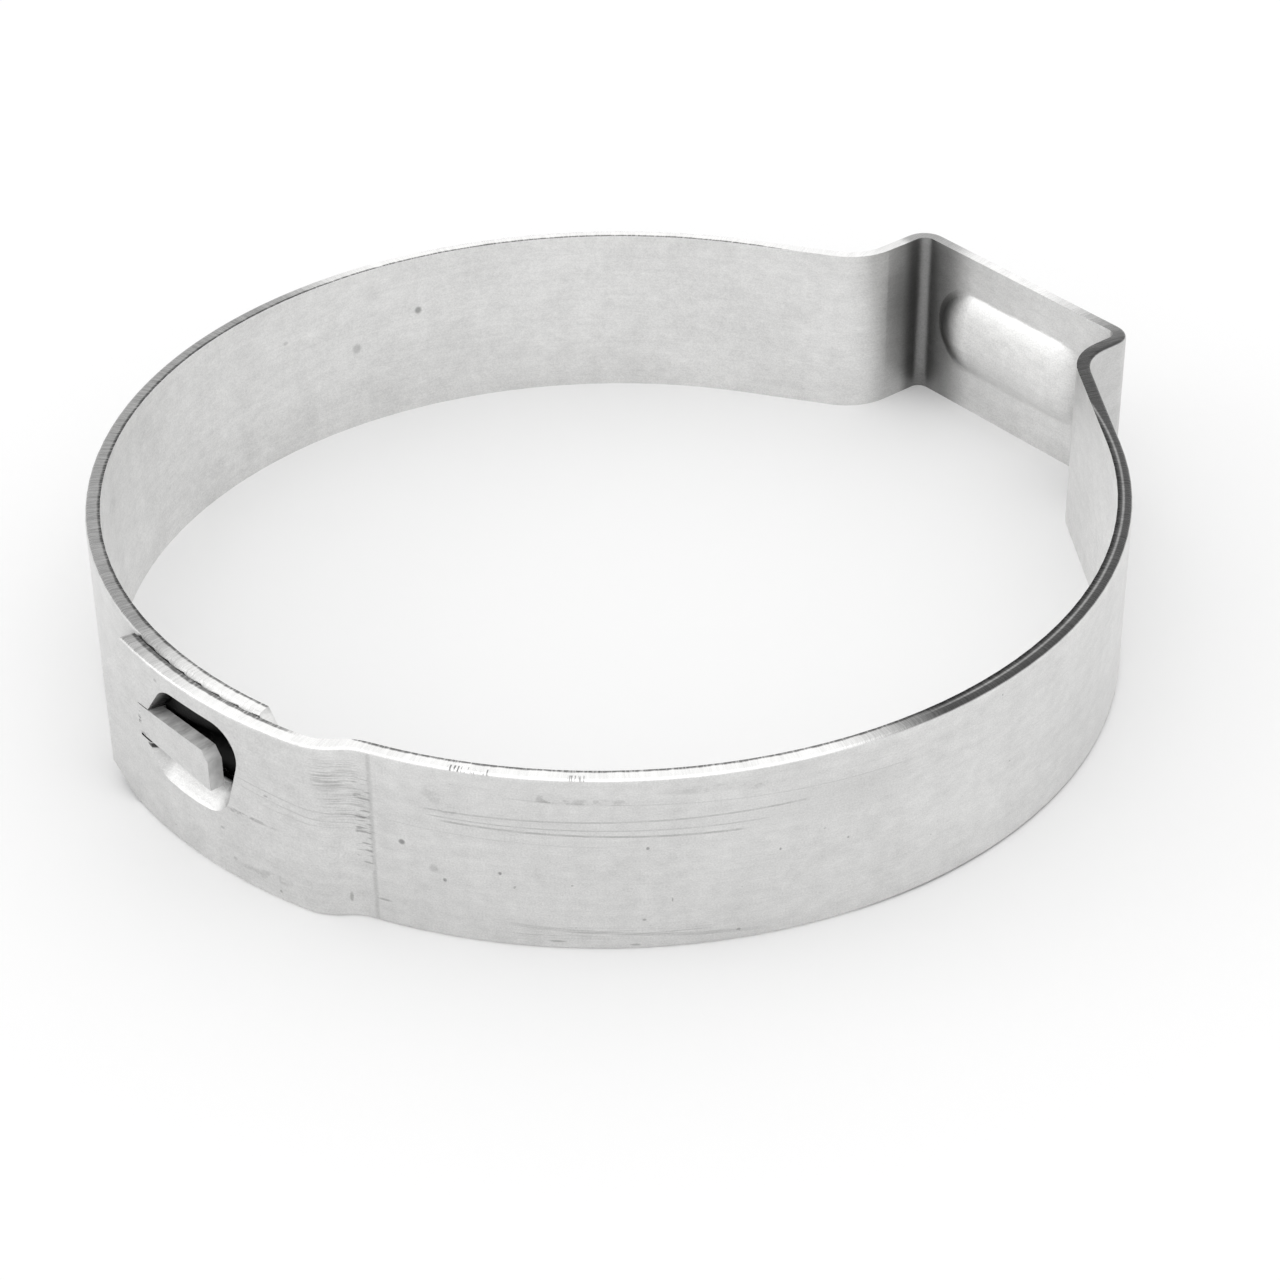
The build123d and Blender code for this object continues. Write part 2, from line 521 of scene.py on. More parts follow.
@dataclass(frozen=True)
class TabArea:
    """The lanced tab's outline on the plane that it is tangent to, in millimetres.

    Attributes:
        tangent_angle: Where the plane touches the outer layer, in degrees.
        root: Where the outline starts along the tab.
        tip: Where it ends.
        root_low: Lower edge at the root.
        tip_low: Lower edge at the tip.
        root_high: Upper edge at the root.
        tip_high: Upper edge at the tip.
        soft: How far its edges fade.
        lap_side: Where the lapped side of the ring begins and is whole.
    """

    tangent_angle: float = 178.5
    root: float = -1.0
    tip: float = 3.84
    root_low: float = 0.02
    tip_low: float = 0.17
    root_high: float = 1.28
    tip_high: float = 1.73
    soft: float = 0.02
    lap_side: Limits = (-15.0, -16.0)

    def mask(self, g: Graph, place: Place) -> Value:
        """One on the tab and zero beside it.

        Args:
            g: The material's graph.
            place: Where the point lies.

        Returns:
            The mask.
        """
        turn = math.radians(self.tangent_angle)
        along = g.minus(g.times(place.y, math.cos(turn)), g.times(place.x, math.sin(turn)))
        low = self._edge(g, along, self.root_low, self.tip_low)
        high = self._edge(g, along, self.root_high, self.tip_high)
        above = g.span(g.minus(place.z, low), -self.soft, 0.0)
        below = g.span(g.minus(high, place.z), -self.soft, 0.0)
        across = g.window(along, self.root, self.tip, self.soft)
        side = g.span(place.x, *self.lap_side)
        return g.total([above, below, across, side], Op.MULTIPLY)

    def _edge(self, g: Graph, along: Value, root: float, tip: float) -> Socket:
        """Height of one of the tab's long edges at a distance along it."""
        slope = (tip - root) / (self.tip - self.root)
        return g.plus(g.times(along, slope), root - slope * self.root)


@dataclass(frozen=True)
class HollowShade:
    """Painted shade where the strip folds over itself, found by an occlusion test, and painted
    shade in the pocket round the tab.

    Attributes:
        reach_mm: How far a fold darkens what faces it.
        samples: Rays that look for a fold.
        open_limits: Openness that counts as closed, and as open.
        tone: Brightness left in a closed fold.
        slope_gain: Brightness left on the pocket's lower slope, a light painted shade.
        pocket_shade_gain: Brightness left in the pocket's near-black painted shade above the
            slope.
        sunk_mm: Radii between which the pocket's wall sinks below the outer face.
        behind_mm: Radii between which the wall is still in front of the outer layer's back.
        side_mm: Where along X the lapped side begins and is whole.
        top_mm: Heights between which the painted shade stops below the rim.
        pocket: First angle, last angle and fade of the pocket.
        slope_rise: Rise of the slope's upper edge across the ring.
        slope_height_mm: Height of that edge where it crosses the middle.
        slope_limits: Heights about that edge between which the painted shade begins.
    """

    reach_mm: float = 3.4
    samples: int = 8
    open_limits: Limits = (0.08, 0.97)
    tone: float = 0.03
    slope_gain: float = 0.94
    pocket_shade_gain: float = 0.03
    sunk_mm: Limits = (LAP_OUTSIDE_MM - 0.01, LAP_OUTSIDE_MM - 0.32)
    behind_mm: Limits = (LAP_INSIDE_MM - 0.25, LAP_INSIDE_MM - 0.15)
    side_mm: Limits = (-17.0, -18.0)
    top_mm: Limits = (3.15, 3.0)
    pocket: Triple = (175.0, 197.0, 0.5)
    slope_rise: float = 0.085
    slope_height_mm: float = 0.30
    slope_limits: Limits = (-0.15, 0.05)

    def brightness(self, g: Graph, place: Place, on_tab: Value) -> Socket:
        """Painted shade left in folds and in the pocket.

        Args:
            g: The material's graph.
            place: Where the point lies.
            on_tab: One on the tab, which keeps its brightness.

        Returns:
            The brightness that is left.
        """
        # Painted shade in closed folds, from ambient occlusion.
        shade = g.node("AmbientOcclusion", samples=self.samples, only_local=True)
        shade.inputs["Distance"].default_value = self.reach_mm * MM
        folds = g.span(shade.outputs["AO"], *self.open_limits, self.tone, 1.0)
        folds = g.mix(on_tab, folds, 1.0)
        # Painted shade in the pocket: near-black above the lower slope, light on the slope.
        pocket = [
            g.span(place.radius, *self.sunk_mm),
            g.span(place.radius, *self.behind_mm),
            g.span(place.x, *self.side_mm),
            g.span(place.z, *self.top_mm),
            place.angles(g, *self.pocket),
            g.minus(1.0, on_tab),
        ]
        pocket = g.total(pocket, Op.MULTIPLY)
        upper = g.plus(g.times(place.y, self.slope_rise), self.slope_height_mm)
        over_slope = g.span(g.minus(place.z, upper), *self.slope_limits)
        kept = g.mix(over_slope, self.slope_gain, self.pocket_shade_gain)
        return g.times(folds, g.mix(pocket, 1.0, kept))


@dataclass(frozen=True)
class Crease:
    """Painted shade: an uneven darker line along the bend where the strip was stepped outward.

    Attributes:
        angle: Where it runs, in degrees.
        wander: How far it leaves that angle, in degrees.
        fade: Degrees from its middle between which it fades in.
        strength: How much it darkens.
    """

    angle: float = 207.0
    wander: float = 0.5
    fade: Limits = (0.42, 0.05)
    strength: float = 0.20

    def darkness(self, g: Graph, place: Place, broken: Value) -> Socket:
        """Painted shade of the crease.

        Args:
            g: The material's graph.
            place: Where the point lies.
            broken: Noise that moves it and breaks it up.

        Returns:
            The darkness.
        """
        shifted = g.plus(place.degrees, g.centred(broken, self.wander))
        away = g.math(Op.ABSOLUTE, g.minus(shifted, self.angle))
        line = g.span(away, *self.fade, 0.0, self.strength)
        return g.times(line, g.span(broken, *CREASE_BREAKS, *BROKEN_RANGE))


@dataclass(frozen=True)
class RimZone:
    """A stretch of the slit rim with its own brightness, mostly painted shade set by its place
    round the ring.

    Attributes:
        start: First angle, in degrees.
        end: Last angle, in degrees.
        soft: Degrees over which it fades.
        tone: Its brightness.
        low_radius: Inner radius in millimetres, or zero for the whole rim.
        high_radius: Outer radius in millimetres.
        soft_mm: How far those radii fade.
    """

    start: float
    end: float
    soft: float
    tone: float
    low_radius: float = 0.0
    high_radius: float = 100.0
    soft_mm: float = 0.03

    def mask(self, g: Graph, place: Place) -> Socket:
        """One in the zone and zero beside it.

        Args:
            g: The material's graph.
            place: Where the point lies.

        Returns:
            The mask.
        """
        here = place.angles(g, self.start, self.end, self.soft)
        if self.low_radius > 0.0:
            ring = g.window(place.radius, self.low_radius, self.high_radius, self.soft_mm)
            here = g.times(here, ring)
        return here


@dataclass(frozen=True)
class SlitRim:
    """The strip's slit edges: scored across, torn on the bore side and scarred.

    Attributes:
        tone: Brightness of a clean rim.
        roughness: Roughness of the rim.
        rough_reach: How far the scoring moves the roughness.
        relief: Share of the scoring and chatter in the height.
        facing: How far along the bore a face looks before it counts as rim.
        score_reach: How far the scoring moves the tone of a bright rim.
        shaded_rim_score_reach: How much more it moves that of a rim in a darker zone.
        ragged_mm: How uneven the torn band is.
        lap_torn_mm: The torn band's limits from the lap's inside.
        bore_torn_mm: The torn band's limits from the bore.
        torn_soft_mm: How far those limits fade.
        lap_angles: First angle, last angle and fade of the lap's torn band.
        torn_limits: Scoring at which the tear is weakest and strongest.
        torn_range: The tear's strength at those two.
        scar_side_mm: Radii between which the scarred outer half begins.
        scar_limits: Scoring between which a scar shows.
    """

    tone: float = 0.96
    roughness: float = 0.26
    rough_reach: float = 0.3
    relief: float = 2.0
    facing: Limits = (0.45, 0.8)
    score_reach: float = 0.35
    shaded_rim_score_reach: float = 1.1
    ragged_mm: float = 0.12
    lap_torn_mm: Limits = (-0.06, 0.14)
    bore_torn_mm: Limits = (-0.2, 0.10)
    torn_soft_mm: float = 0.04
    lap_angles: Triple = (160.0, 197.0, 3.0)
    torn_limits: Limits = (0.75, 0.45)
    torn_range: Limits = (0.35, 0.8)
    scar_side_mm: Limits = (18.78, 18.86)
    scar_limits: Limits = (0.50, 0.60)
    scored: Texture = Texture(11.0, 2.0, 1.1, 3.0, 0.6, reach=1.0)
    chatter: Texture = Texture(2.2, 1.0, 0.5, 3.0, 0.7, reach=0.35)
    # Painted shade on the rim towards the right and the back left, a less dark band by the
    # bore, and the lap's grey sheared rim near its end.
    zones: tuple[RimZone, ...] = (
        RimZone(268.0, 344.0, 16.0, 0.07),
        RimZone(272.0, 335.0, 12.0, 0.30, 18.72, 18.80),
        RimZone(100.0, 170.0, 20.0, 0.34),
        RimZone(166.0, 173.6, 1.2, 0.34, 19.15),
    )
    scars: tuple[Patch, ...] = (
        Patch(215.5, 219.3, 3.2, 3.6, 0.4, 0.1, 0.75),
        Patch(227.4, 228.8, 3.2, 3.6, 0.3, 0.1, 0.6),
    )

    def brightness(self, g: Graph, place: Place, scored: Value, chatter: Value) -> Socket:
        """Brightness of the rim.

        Args:
            g: The material's graph.
            place: Where the point lies.
            scored: Noise of the scoring across the rim.
            chatter: Broader noise along the rim.

        Returns:
            The brightness.
        """
        tone: Value = self.tone
        # dull marks the darker rim zones, mostly painted shade, not a duller finish.
        dull: Value = 0.0
        for zone in self.zones:
            here = zone.mask(g, place)
            tone = g.mix(here, tone, zone.tone)
            dull = g.math(Op.MAXIMUM, dull, here)
        swing = self.scored.swing(g, scored)
        depth = g.plus(g.times(dull, self.shaded_rim_score_reach), self.score_reach)
        tone = g.times(tone, g.plus(g.times(swing, depth), 1.0))
        tone = g.times(tone, g.plus(self.chatter.swing(g, chatter), 1.0))
        tone = g.times(tone, g.minus(1.0, self._torn(g, place, scored, chatter)))
        outer_half = g.span(place.radius, *self.scar_side_mm)
        scars = g.total([scar.darkness(g, place) for scar in self.scars])
        scars = g.total([scars, outer_half, g.span(scored, *self.scar_limits)], Op.MULTIPLY)
        return g.times(tone, g.minus(1.0, scars, True), True)

    def _torn(self, g: Graph, place: Place, scored: Value, chatter: Value) -> Socket:
        """Darkness of the torn bands.

        Args:
            g: The material's graph.
            place: Where the point lies.
            scored: Noise that breaks the bands up.
            chatter: Noise that makes their limits uneven.

        Returns:
            The darkness.
        """
        depth = g.plus(place.radius, g.centred(chatter, self.ragged_mm))
        low, high = (LAP_INSIDE_MM + limit for limit in self.lap_torn_mm)
        torn = g.window(depth, low, high, self.torn_soft_mm)
        torn = g.times(torn, place.angles(g, *self.lap_angles))
        low, high = (BORE_MM + limit for limit in self.bore_torn_mm)
        torn = g.math(Op.MAXIMUM, torn, g.window(depth, low, high, self.torn_soft_mm))
        return g.times(torn, g.span(scored, *self.torn_limits, *self.torn_range))


@dataclass(frozen=True)
class SatinSteel:
    """Cold-rolled stainless strip: satin faces, slit rims, rolling lines, scuffs and pits.

    Attributes:
        name: The material's name.
        face_tone: Brightness of the faces.
        bore_light_gain: Painted light: how much brighter the bore side is drawn.
        tint: Share of each colour in the tone.
        roughness: Roughness of the faces.
        mottle_rough: How far the mottle moves the roughness.
        rolled_rough: How far the rolling grain moves it.
        relief_mm: Height of the surface's relief.
        bore_limits: Signed radii between which a face counts as the bore side.
        outside_limits: Signed radii between which a face stops counting as the outside.
        brushed_limits: Noise between which a stroke shows.
        nicked_limits: Noise between which a nick shows.
        pit_limits: Noise between which a pit shows.
        pit_strength: How much a pit darkens.
        tab_side_tone: Brightness of the tab's sheared sides.
        tab_side_metallic: Their metallic share, low because they are torn and dull.
        tab_side_roughness: Their roughness.
    """

    name: str = "satin_stainless"
    face_tone: float = 0.67
    bore_light_gain: float = 1.14
    tint: Triple = (1.0, 0.998, 0.99)
    roughness: float = 0.33
    mottle_rough: float = 0.16
    rolled_rough: float = 0.08
    relief_mm: float = 0.012
    bore_limits: Limits = (-1.0, -8.0)
    outside_limits: Limits = (19.2, 16.0)
    brushed_limits: Limits = (0.48, 0.62)
    nicked_limits: Limits = (0.54, 0.64)
    pit_limits: Limits = (0.79, 0.83)
    pit_strength: float = 0.32
    tab_side_tone: float = 0.62
    tab_side_metallic: float = 0.15
    tab_side_roughness: float = 0.6
    clouds: Texture = Texture(0.16, 0.35, 0.3, 4.0, 0.6, reach=0.14)
    mottle: Texture = Texture(1.5, 2.2, 1.0, 6.0, 0.7, reach=0.24, relief=1.0)
    grain: Texture = Texture(15.0, 17.0, 10.0, 2.0, 0.7, reach=0.30, relief=0.6)
    rolled: Texture = Texture(0.30, 9.0, 0.5, 4.0, 0.65, reach=0.10, relief=0.5)
    streaks: Texture = Texture(0.75, 0.10, 0.3, 3.0, 0.6, reach=0.10)
    brushed: Texture = Texture(0.45, 17.0, 1.0, 3.0, 0.6)
    nicked: Texture = Texture(1.3, 8.0, 1.0, 1.0, 0.6)
    pits: Texture = Texture(3.0, 3.4, 1.5, 1.0, 0.5)
    ridges: Texture = Texture(3.2, 0.6, 0.6, 3.0, 0.65, reach=1.7)
    tab: TabArea = TabArea()
    hollow_shade: HollowShade = HollowShade()
    crease: Crease = Crease()
    rim: SlitRim = SlitRim()
    shades: tuple[Shade, ...] = (
        # Painted shade in the ear's crown towards its +Y corner.
        Shade((20.7, 3.9, -5.0), (23.0, 7.0, 5.0), (0.3, 1.0, 1.0), 0.46),
        # Painted shade on the ear's leg on the +Y side.
        Shade((19.0, 5.3, -5.0), (23.0, 7.0, 5.0), (0.6, 0.3, 1.0), 0.86),
        # Painted highlight on the dimple, with added roughness.
        Shade((20.5, -3.4, -0.8), (21.56, 3.8, 1.5), (0.05, 0.8, 0.7), 1.12, 0.2),
        # Painted shade on the ear's leg on the -Y side.
        Shade((19.6, -7.0, -5.0), (23.0, -5.0, 5.0), (0.5, 0.3, 1.0), 0.88),
        # Painted highlight on the cut corner at the end of the bore-side layer.
        Shade((-18.45, -5.9, 1.2), (-17.4, -4.6, 4.0), (0.05, 0.1, 0.3), 1.45),
        # Painted light on the ring's front towards the right.
        Shade((-3.0, -21.0, -6.0), (15.0, -9.0, 6.0), (5.0, 2.0, 1.0), 1.07),
    )
    bore_marks: tuple[Mark, ...] = (
        Mark(76.5, 1.1, 0.16, 0.16, 0.50),
        Mark(85.4, 0.1, 0.20, 0.24, 0.26),
        Mark(96.0, 1.6, 0.12, 0.10, 0.20),
        Mark(104.0, 0.4, 0.5, 0.3, 0.12, True),
        Mark(125.0, 2.4, 0.9, 0.4, 0.12, True),
        Mark(139.0, 1.5, 0.8, 0.5, 0.16, True),
        Mark(147.0, 2.6, 0.7, 0.3, 0.16, True),
    )
    marks: tuple[Mark, ...] = (
        Mark(210.2, 0.16, 0.12, 0.11, 0.55),
        Mark(213.5, -0.68, 0.17, 0.16, 0.20),
        Mark(214.6, -1.08, 0.07, 0.08, 0.45),
        Mark(220.3, -0.48, 0.06, 0.07, 0.50),
        Mark(234.9, 0.72, 0.06, 0.07, 0.45),
        Mark(248.2, 0.03, 0.04, 0.06, 0.45),
        Mark(255.5, -0.18, 0.04, 0.05, 0.40),
        Mark(237.3, -1.46, 0.03, 0.09, 0.35),
        Mark(234.5, -2.24, 0.07, 0.05, 0.35),
        Mark(225.8, -3.15, 0.28, 0.05, 0.30),
        Mark(233.6, -3.28, 0.18, 0.04, 0.30),
        Mark(207.9, -2.49, 0.26, 0.05, 0.28),
        Mark(204.4, -2.63, 0.06, 0.20, 0.34),
        Mark(193.1, -2.79, 0.7, 0.22, 0.20, True),
        Mark(196.3, -2.6, 0.7, 0.20, 0.20, True),
        Mark(190.9, -2.61, 0.10, 0.07, 0.22),
        Mark(180.4, 3.0, 0.10, 0.07, 0.26),
        Mark(191.5, -0.5, 0.9, 0.10, 0.30, True),
        Mark(194.6, -0.45, 0.9, 0.07, 0.28, True),
        Mark(189.4, -1.54, 0.10, 0.06, 0.26),
        Mark(177.2, 0.12, 0.34, 0.16, 0.85, True),
        Mark(178.4, -0.12, 0.26, 0.09, 0.90),
        Mark(176.3, 1.3, 0.20, 0.08, 0.45, True),
        Mark(213.6, 2.35, 0.45, 0.45, 0.16, True),
        Mark(215.3, 1.9, 0.40, 0.30, 0.16, True),
        Mark(225.2, 2.75, 0.55, 0.20, 0.22, True),
        Mark(229.7, 2.62, 1.9, 0.14, 0.20, True),
        Mark(240.5, 2.95, 1.5, 0.18, 0.16, True),
        Mark(245.5, 2.85, 0.5, 0.20, 0.18, True),
        Mark(252.0, 1.6, 3.0, 0.7, 0.06, True),
        Mark(163.0, -0.1, 0.03, 0.8, 0.25),
    )
    lines: tuple[DrawnLine, ...] = (
        DrawnLine(213.5, 250.0, 1.76, 1.86, 0.045, 0.26),
        DrawnLine(214.0, 246.0, 1.52, 1.42, 0.035, 0.22),
        DrawnLine(215.5, 243.5, 1.36, 1.14, 0.05, 0.32),
        DrawnLine(222.0, 262.0, 2.62, 2.20, 0.03, 0.13),
        DrawnLine(209.0, 230.0, 0.95, 0.80, 0.03, 0.10),
        DrawnLine(222.0, 246.0, -2.56, -3.12, 0.09, 0.12),
        DrawnLine(193.0, 206.0, 1.05, 0.80, 0.035, 0.18),
        DrawnLine(193.5, 206.0, 0.74, 0.45, 0.03, 0.16),
        DrawnLine(196.0, 207.0, 0.35, 0.25, 0.03, 0.12),
    )
    strokes: tuple[Patch, ...] = (
        Patch(202.0, 205.2, 1.9, 3.0, 1.0, 0.3, 0.28),
        Patch(203.0, 206.0, 0.6, 1.8, 1.2, 0.5, 0.24),
        Patch(224.0, 241.0, -3.05, -2.6, 4.0, 0.15, 0.20),
    )
    dashes: tuple[Patch, ...] = (
        Patch(205.4, 206.7, -1.2, 2.4, 0.35, 0.3, 0.38),
        Patch(176.1, 176.5, 0.35, 1.15, 0.1, 0.05, 0.60),
    )

    def build(self) -> bpy.types.Material:
        """Makes the material.

        Returns:
            A material that finds its place from the object's own coordinates.
        """
        material = bpy.data.materials.new(self.name)
        material.use_nodes = True
        g = Graph(material.node_tree)
        place = Place.read(g)

        facing = g.node("SeparateXYZ")
        g.put(facing.inputs[0], g.node("NewGeometry").outputs["Normal"])
        on_rim = g.span(g.math(Op.ABSOLUTE, facing.outputs[2]), *self.rim.facing)
        outward = g.plus(
            g.times(facing.outputs[0], place.x), g.times(facing.outputs[1], place.y)
        )
        bore_side = g.span(outward, *self.bore_limits)

        clouds = self.clouds.noise(g, place)
        mottle = self.mottle.noise(g, place)
        grain = self.grain.noise(g, place)
        rolled = self.rolled.noise(g, place)
        streaks = self.streaks.noise(g, place)
        scored = self.rim.scored.noise(g, place)
        chatter = self.rim.chatter.noise(g, place)

        wear_and_crease_shade = self._wear_and_crease_shade(g, place, mottle, bore_side)
        tone = g.total(
            [
                self.face_tone,
                self.clouds.swing(g, clouds),
                self.mottle.swing(g, mottle),
                self.rolled.swing(g, rolled),
                self.streaks.swing(g, streaks),
                self.grain.swing(g, grain),
            ]
        )
        # Painted light: the bore side is drawn brighter.
        tone = g.times(tone, g.mix(bore_side, 1.0, self.bore_light_gain))
        # Real marks and wear, with the crease's painted shade.
        tone = g.times(tone, g.minus(1.0, wear_and_crease_shade, True))
        tone = g.mix(on_rim, tone, self.rim.brightness(g, place, scored, chatter))

        on_tab = self.tab.mask(g, place)
        tab_side = g.times(on_tab, g.span(outward, *self.outside_limits))
        torn = g.plus(self.ridges.swing(g, self.ridges.noise(g, place)), 1.0)
        tab_tone = g.times(torn, self.tab_side_tone)
        # Painted shade in the folds and in the pocket round the tab.
        tone = g.times(tone, self.hollow_shade.brightness(g, place, on_tab))
        rough = [
            self.roughness,
            g.centred(mottle, self.mottle_rough),
            g.centred(rolled, self.rolled_rough),
        ]
        # Painted shade and painted light from the boxes.
        for shade in self.shades:
            inside = shade.inside(g, place)
            tone = g.times(tone, g.mix(inside, 1.0, shade.gain))
            rough.append(g.times(inside, shade.rough))
        tone = g.mix(tab_side, tone, tab_tone)
        rim_rough = g.plus(g.centred(scored, self.rim.rough_reach), self.rim.roughness)
        rough = g.mix(on_rim, g.total(rough), rim_rough)

        height = g.total(
            [
                g.times(grain, self.grain.relief),
                g.times(rolled, self.rolled.relief),
                g.times(mottle, self.mottle.relief),
            ]
        )
        height = g.mix(on_rim, height, g.times(g.plus(scored, chatter), self.rim.relief))
        bump = g.node("Bump")
        bump.inputs["Strength"].default_value = 1.0
        bump.inputs["Distance"].default_value = self.relief_mm * MM
        g.put(bump.inputs["Height"], height)

        colour = g.node("CombineColor")
        for socket, share in zip(colour.inputs, self.tint):
            g.put(socket, g.times(tone, share))
        shader = g.node("BsdfPrincipled")
        g.put(shader.inputs["Metallic"], g.mix(tab_side, 1.0, self.tab_side_metallic))
        g.put(shader.inputs["Base Color"], colour.outputs[0])
        g.put(shader.inputs["Roughness"], g.mix(tab_side, rough, self.tab_side_roughness))
        g.put(shader.inputs["Normal"], bump.outputs[0])
        g.finish(shader)
        return material

    def _wear_and_crease_shade(self, g: Graph, place: Place, mottle: Value, bore_side: Value) -> Socket:
        """Darkness of every mark, line, nick and pit, with the painted shade of the crease.

        Args:
            g: The material's graph.
            place: Where the point lies.
            mottle: Noise that breaks the marks up.
            bore_side: One towards the bore, which has marks of its own.

        Returns:
            The darkness.
        """
        brushed = g.span(self.brushed.noise(g, place), *self.brushed_limits)
        nicked = g.span(self.nicked.noise(g, place), *self.nicked_limits)
        outer = [mark.darkness(g, place, mottle) for mark in self.marks]
        outer += [line.darkness(g, place, mottle) for line in self.lines]
        outer += [g.times(brushed, patch.darkness(g, place)) for patch in self.strokes]
        outer += [g.times(nicked, patch.darkness(g, place)) for patch in self.dashes]
        pits = self.pits.noise(g, place)
        outer.append(g.span(pits, *self.pit_limits, 0.0, self.pit_strength))
        # Painted shade along the crease.
        outer.append(self.crease.darkness(g, place, mottle))
        outer_side = g.times(g.total(outer), g.minus(1.0, bore_side))
        inner = g.total([mark.darkness(g, place, mottle) for mark in self.bore_marks])
        return g.plus(outer_side, g.times(inner, bore_side))


@dataclass(frozen=True)
class PocketShadeSteel:
    """Steel at the bottom of the pocket: painted near-black shade on its outer side, plain
    towards the bore.

    Attributes:
        name: The material's name.
        tone: Brightness of the outer side, a painted shade.
        bore_tone: Brightness of the bore side.
        reach: How far the clouds brighten the outer side.
        bore_reach: How far they brighten the bore side.
        roughness: Roughness where the clouds are darkest.
        rough_reach: How far the clouds raise it.
        cloud_scale: Scale of the clouds, per millimetre.
        cloud_detail: Octaves of finer clouds.
        cloud_rough: Strength of the finer clouds.
        side_mm: Signed radii between which a face counts as the bore side.
    """

    name: str = "pocket_shade_stainless"
    tone: float = 0.012
    bore_tone: float = 0.55
    reach: float = 0.02
    bore_reach: float = 0.12
    roughness: float = 0.4
    rough_reach: float = 0.2
    cloud_scale: float = 4.0
    cloud_detail: float = 4.0
    cloud_rough: float = 0.6
    side_mm: Limits = (0.0, -5.0)

    def build(self) -> bpy.types.Material:
        """Makes the material.

        Returns:
            A steel painted near-black and uneven on its outer side, as painted shade.
        """
        material = bpy.data.materials.new(self.name)
        material.use_nodes = True
        g = Graph(material.node_tree)
        at = g.node("TexCoord").outputs["Object"]
        spot = g.node("VectorMath", operation="SCALE")
        g.put(spot.inputs[0], at)
        spot.inputs["Scale"].default_value = self.cloud_scale / MM
        cloud = g.noise(spot.outputs["Vector"], self.cloud_detail, self.cloud_rough)
        facing = g.node("VectorMath", operation="DOT_PRODUCT")
        g.put(facing.inputs[0], at)
        g.put(facing.inputs[1], g.node("NewGeometry").outputs["Normal"])
        bore_side = g.span(facing.outputs["Value"], *(limit * MM for limit in self.side_mm))
        # Painted shade: the outer side is near-black, with faint random clouds.
        shaded_outside = g.plus(g.times(cloud, self.reach), self.tone)
        plain = g.plus(g.times(cloud, self.bore_reach), self.bore_tone)
        tone = g.mix(bore_side, shaded_outside, plain)
        colour = g.node("CombineColor")
        for socket in colour.inputs:
            g.put(socket, tone)
        shader = g.node("BsdfPrincipled")
        shader.inputs["Metallic"].default_value = 1.0
        g.put(shader.inputs["Base Color"], colour.outputs[0])
        rough = g.plus(g.times(cloud, self.rough_reach), self.roughness)
        g.put(shader.inputs["Roughness"], rough)
        g.finish(shader)
        return material


@dataclass
class TabBed:
    """The skin pressed in behind the tab, which closes the pocket towards the bore; its outer
    side carries painted shade.

    Attributes:
        name: The piece's name.
        start: First angle, in degrees.
        end: Last angle, in degrees.
        low: Lower edge, in millimetres.
        high: Upper edge, in millimetres.
        inside_mm: Radius of its bore side.
        outside_mm: Radius of its outer side.
        steps: Flats round its length.
        bed_steel: Its steel, painted near-black shade on the outer side.
    """

    name: str = "strip_tab_bed"
    start: float = 175.6
    end: float = 190.2
    low: float = -0.12
    high: float = 1.95
    inside_mm: float = 18.62
    outside_mm: float = 18.80
    steps: int = 24
    bed_steel: PocketShadeSteel = field(default_factory=PocketShadeSteel)

    def build(self) -> bpy.types.Object:
        """Makes the curved skin.

        Returns:
            The new piece.
        """
        section = self._section()
        rows = []
        for step in range(self.steps + 1):
            angle = math.radians(self.start + (self.end - self.start) * step / self.steps)
            across = Vector((math.cos(angle), math.sin(angle), 0.0))
            for radius, height in section:
                point = across * radius
                rows.append(Vector((point.x, point.y, height)) * MM)
        mesh = bpy.data.meshes.new(self.name)
        mesh.from_pydata(rows, [], self._faces(len(section)))
        mesh.update()
        mesh.materials.append(self.bed_steel.build())
        piece = bpy.data.objects.new(self.name, mesh)
        bpy.context.scene.collection.objects.link(piece)
        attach(piece, ROOT_BODY)
        return piece

    def _section(self) -> list[tuple[float, float]]:
        """Works out the skin's section.

        Returns:
            Its corners, each as a radius and a height.
        """
        return [
            (self.inside_mm, self.low),
            (self.outside_mm, self.low),
            (self.outside_mm, self.high),
            (self.inside_mm, self.high),
        ]

    def _faces(self, count: int) -> list[tuple[int, ...]]:
        """Faces of the skin: its two ends, and a ring of sides for each step.

        Args:
            count: Corners of the section.

        Returns:
            The corners of each face, by their place in the list of points.
        """
        last = self.steps * count
        faces = [tuple(reversed(range(count))), tuple(range(last, last + count))]
        for step in range(self.steps):
            here, there = step * count, (step + 1) * count
            for corner in range(count):
                beyond = (corner + 1) % count
                faces.append((here + corner, here + beyond, there + beyond, there + corner))
        return faces


@dataclass
class ClampBand:
    """The one folded strip, which keeps its CAD form and gets its steel.

    Attributes:
        steel: Its steel.
    """

    steel: SatinSteel = field(default_factory=SatinSteel)

    def dress(self) -> bpy.types.Object:
        """Puts the steel on the strip.

        Returns:
            The CAD node.
        """
        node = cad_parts[CLAMP_NODE]
        material = self.steel.build()
        if not node.material_slots:
            node.data.materials.append(material)
        for slot in node.material_slots:
            slot.material = material
        return node


